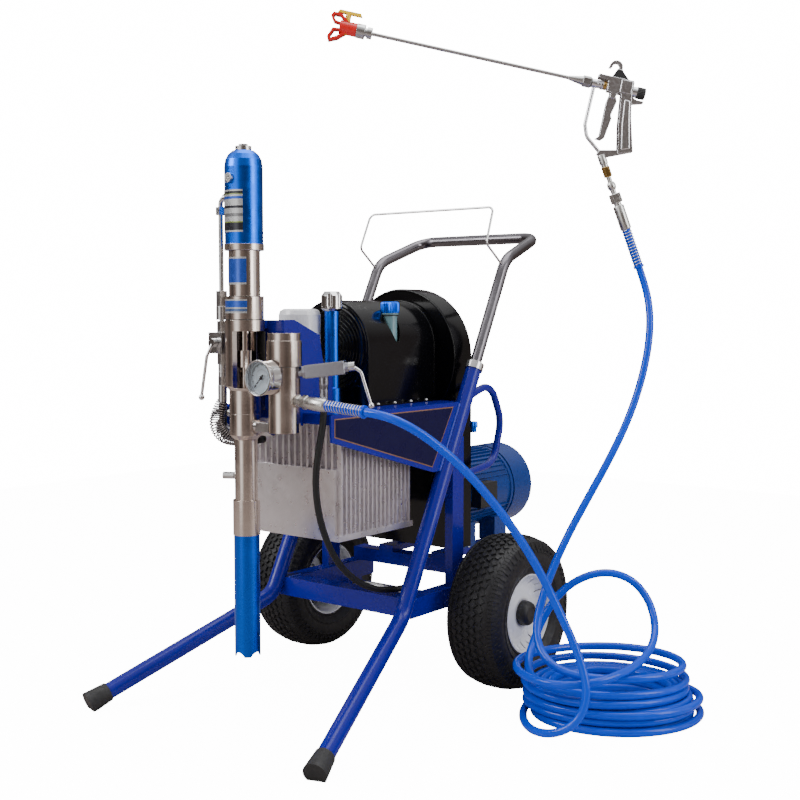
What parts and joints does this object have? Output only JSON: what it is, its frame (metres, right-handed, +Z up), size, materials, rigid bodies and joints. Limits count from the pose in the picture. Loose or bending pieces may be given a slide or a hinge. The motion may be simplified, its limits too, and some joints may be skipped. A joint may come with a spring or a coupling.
{
  "type": "airless paint sprayer",
  "caption": "Two-wheeled hydraulic airless paint sprayer: upright paint pump with pressure filter and gauge, oil tank, hooded belt drive and motor, coiled hose and long-pole spray gun.",
  "frame": {"origin": "bottom centre of the object's box at floor level, measured without the free hoses and their coil", "axes": "+Z up; +X towards the cart's right-hand side, where the hose coil lies; -Y towards the paint pump; +Y towards the motor and the push handle"},
  "size_m": [1.0603, 1.0576, 1.426],
  "materials": {
    "frame_blue": "gloss",
    "panel_navy": "gloss",
    "black_rubber": "matt",
    "bright_steel": "brushed",
    "tyre": "matt",
    "white_rim": "gloss",
    "dark_steel": "satin",
    "wire": "polished",
    "cast_aluminium": "as cast",
    "black_cover": "gloss",
    "motor_blue": "semi-gloss",
    "black_plastic": "matt",
    "belt": "matt",
    "cast_iron": "machined",
    "filter_white": "gloss",
    "anodised_blue": "bright anodised",
    "chrome": "polished",
    "polished_steel": "polished",
    "gauge_glass": "clear",
    "needle_black": "matt",
    "hose_blue": "gloss",
    "hose_black": "satin",
    "gun_aluminium": "polished",
    "red_plastic": "gloss",
    "yellow_plastic": "gloss"
  },
  "bodies": {
    "cart": {"side_tube_left": "frame_blue", "side_tube_right": "frame_blue", "base_frame": "frame_blue", "upper_frame": "frame_blue", "lifting_loops": "frame_blue", "foot_caps": "black_rubber", "tube_collars": "bright_steel", "axle": "bright_steel", "oil_tank": "cast_aluminium", "hood": "black_cover", "belt_guard": "black_cover", "cover_screws": "chrome", "motor_housing": "motor_blue", "motor_fan_cover": "motor_blue", "motor_terminal_box": "black_plastic", "drive_belts": "belt", "gear_pump": "cast_iron", "filler_neck": "bright_steel", "oil_filter": "filter_white", "control_valve": "anodised_blue", "pump_bracket": "frame_blue", "cylinder_dome": "anodised_blue", "hydraulic_cylinder": "polished_steel", "coupling_housing": "polished_steel", "packing_housing": "polished_steel", "fluid_cylinder": "polished_steel", "foot_valve": "polished_steel", "suction_tube": "anodised_blue", "pump_fittings": "bright_steel", "manifold": "polished_steel", "gauge_case": "chrome", "gauge_glass": "gauge_glass", "hydraulic_line": "bright_steel", "hydraulic_hose": "hose_black", "drain_valve": "polished_steel", "drain_hose": "hose_black", "outlet_fitting": "bright_steel", "paint_hose": "hose_blue", "hose_coil": "hose_blue", "gun_body": "gun_aluminium", "gun_pole": "bright_steel"},
    "wheel_left": {"tyre_left": "tyre", "wheel_rim_left": "white_rim"},
    "wheel_right": {"tyre_right": "tyre", "wheel_rim_right": "white_rim"},
    "handle": {"handle": "dark_steel", "hose_rack": "wire"},
    "motor_shaft": {"motor_rotor": "bright_steel", "motor_pulley": "cast_iron"},
    "pump_shaft": {"pump_pulley": "cast_iron"},
    "pump_rod": {"pump_rod": "polished_steel"},
    "hydraulic_lever": {"hydraulic_lever": "chrome"},
    "drain_lever": {"drain_lever": "chrome"},
    "control_knob": {"control_knob": "chrome"},
    "filler_cap": {"filler_cap": "anodised_blue"},
    "gauge_needle": {"gauge_needle": "needle_black"},
    "gun_trigger": {"gun_trigger": "gun_aluminium"},
    "tip_guard": {"tip_guard": "red_plastic"},
    "spray_tip": {"spray_tip": "yellow_plastic"},
    "gun_swivel": {"gun_swivel": "bright_steel"}
  },
  "joints": [
    {"name": "wheel_left_spin", "type": "hinge", "parent": "cart", "child": "wheel_left", "pos_m": [-0.3571, 0.1368, 0.165], "axis": [1, 0, 0], "continuous": true},
    {"name": "wheel_right_spin", "type": "hinge", "parent": "cart", "child": "wheel_right", "pos_m": [0.1979, 0.1368, 0.165], "axis": [1, 0, 0], "continuous": true},
    {"name": "handle_slide", "type": "slide", "parent": "cart", "child": "handle", "axis": [0, 0.4574, 0.8893], "range_m": [-0.15, 0.05]},
    {"name": "motor_spin", "type": "hinge", "parent": "cart", "child": "motor_shaft", "pos_m": [-0.0796, 0.2368, 0.378], "axis": [0, 1, 0], "continuous": true},
    {"name": "pump_pulley_spin", "type": "hinge", "parent": "cart", "child": "pump_shaft", "pos_m": [-0.0796, 0.1368, 0.7], "axis": [0, 1, 0], "continuous": true},
    {"name": "pump_rod_slide", "type": "slide", "parent": "cart", "child": "pump_rod", "axis": [0, 0, 1], "range_m": [-0.03, 0.03]},
    {"name": "hydraulic_lever_turn", "type": "hinge", "parent": "cart", "child": "hydraulic_lever", "pos_m": [-0.1426, -0.3832, 0.742], "axis": [0, 1, 0], "range_deg": [0, 90]},
    {"name": "drain_lever_turn", "type": "hinge", "parent": "cart", "child": "drain_lever", "pos_m": [0.12756, -0.31428, 0.69962], "axis": [0.8764, 0.466, 0.1219], "range_deg": [0, 90]},
    {"name": "control_knob_turn", "type": "hinge", "parent": "cart", "child": "control_knob", "pos_m": [-0.0396, -0.1632, 0.82], "axis": [0, 0, 1], "range_deg": [-150, 150]},
    {"name": "filler_cap_turn", "type": "hinge", "parent": "cart", "child": "filler_cap", "pos_m": [-0.0016, -0.0212, 0.81], "axis": [0, 0, 1], "range_deg": [0, 120]},
    {"name": "gauge_needle_turn", "type": "hinge", "parent": "cart", "child": "gauge_needle", "pos_m": [0.0224, -0.4317, 0.681], "axis": [0, 1, 0], "range_deg": [0, 270]},
    {"name": "trigger_pull", "type": "hinge", "parent": "cart", "child": "gun_trigger", "pos_m": [0.35736, 0.27167, 1.24955], "axis": [0.6129, -0.7902, 0], "range_deg": [0, 13], "stiffness_Nm_per_rad": 2, "springref_deg": -20.05},
    {"name": "tip_guard_turn", "type": "hinge", "parent": "cart", "child": "tip_guard", "pos_m": [-0.07194, -0.06133, 1.38644], "axis": [0.772, 0.5988, -0.213], "continuous": true},
    {"name": "spray_tip_turn", "type": "hinge", "parent": "tip_guard", "child": "spray_tip", "pos_m": [-0.07942, -0.06714, 1.39464], "axis": [0.1683, 0.1306, 0.977], "range_deg": [0, 180]},
    {"name": "gun_swivel_turn", "type": "hinge", "parent": "cart", "child": "gun_swivel", "pos_m": [0.33991, 0.25813, 1.1295], "axis": [0.2637, 0.2046, -0.9426], "continuous": true}
  ],
  "couplings": [
    {"joint": "pump_pulley_spin", "follows": "motor_spin", "ratio": 0.6}
  ]
}
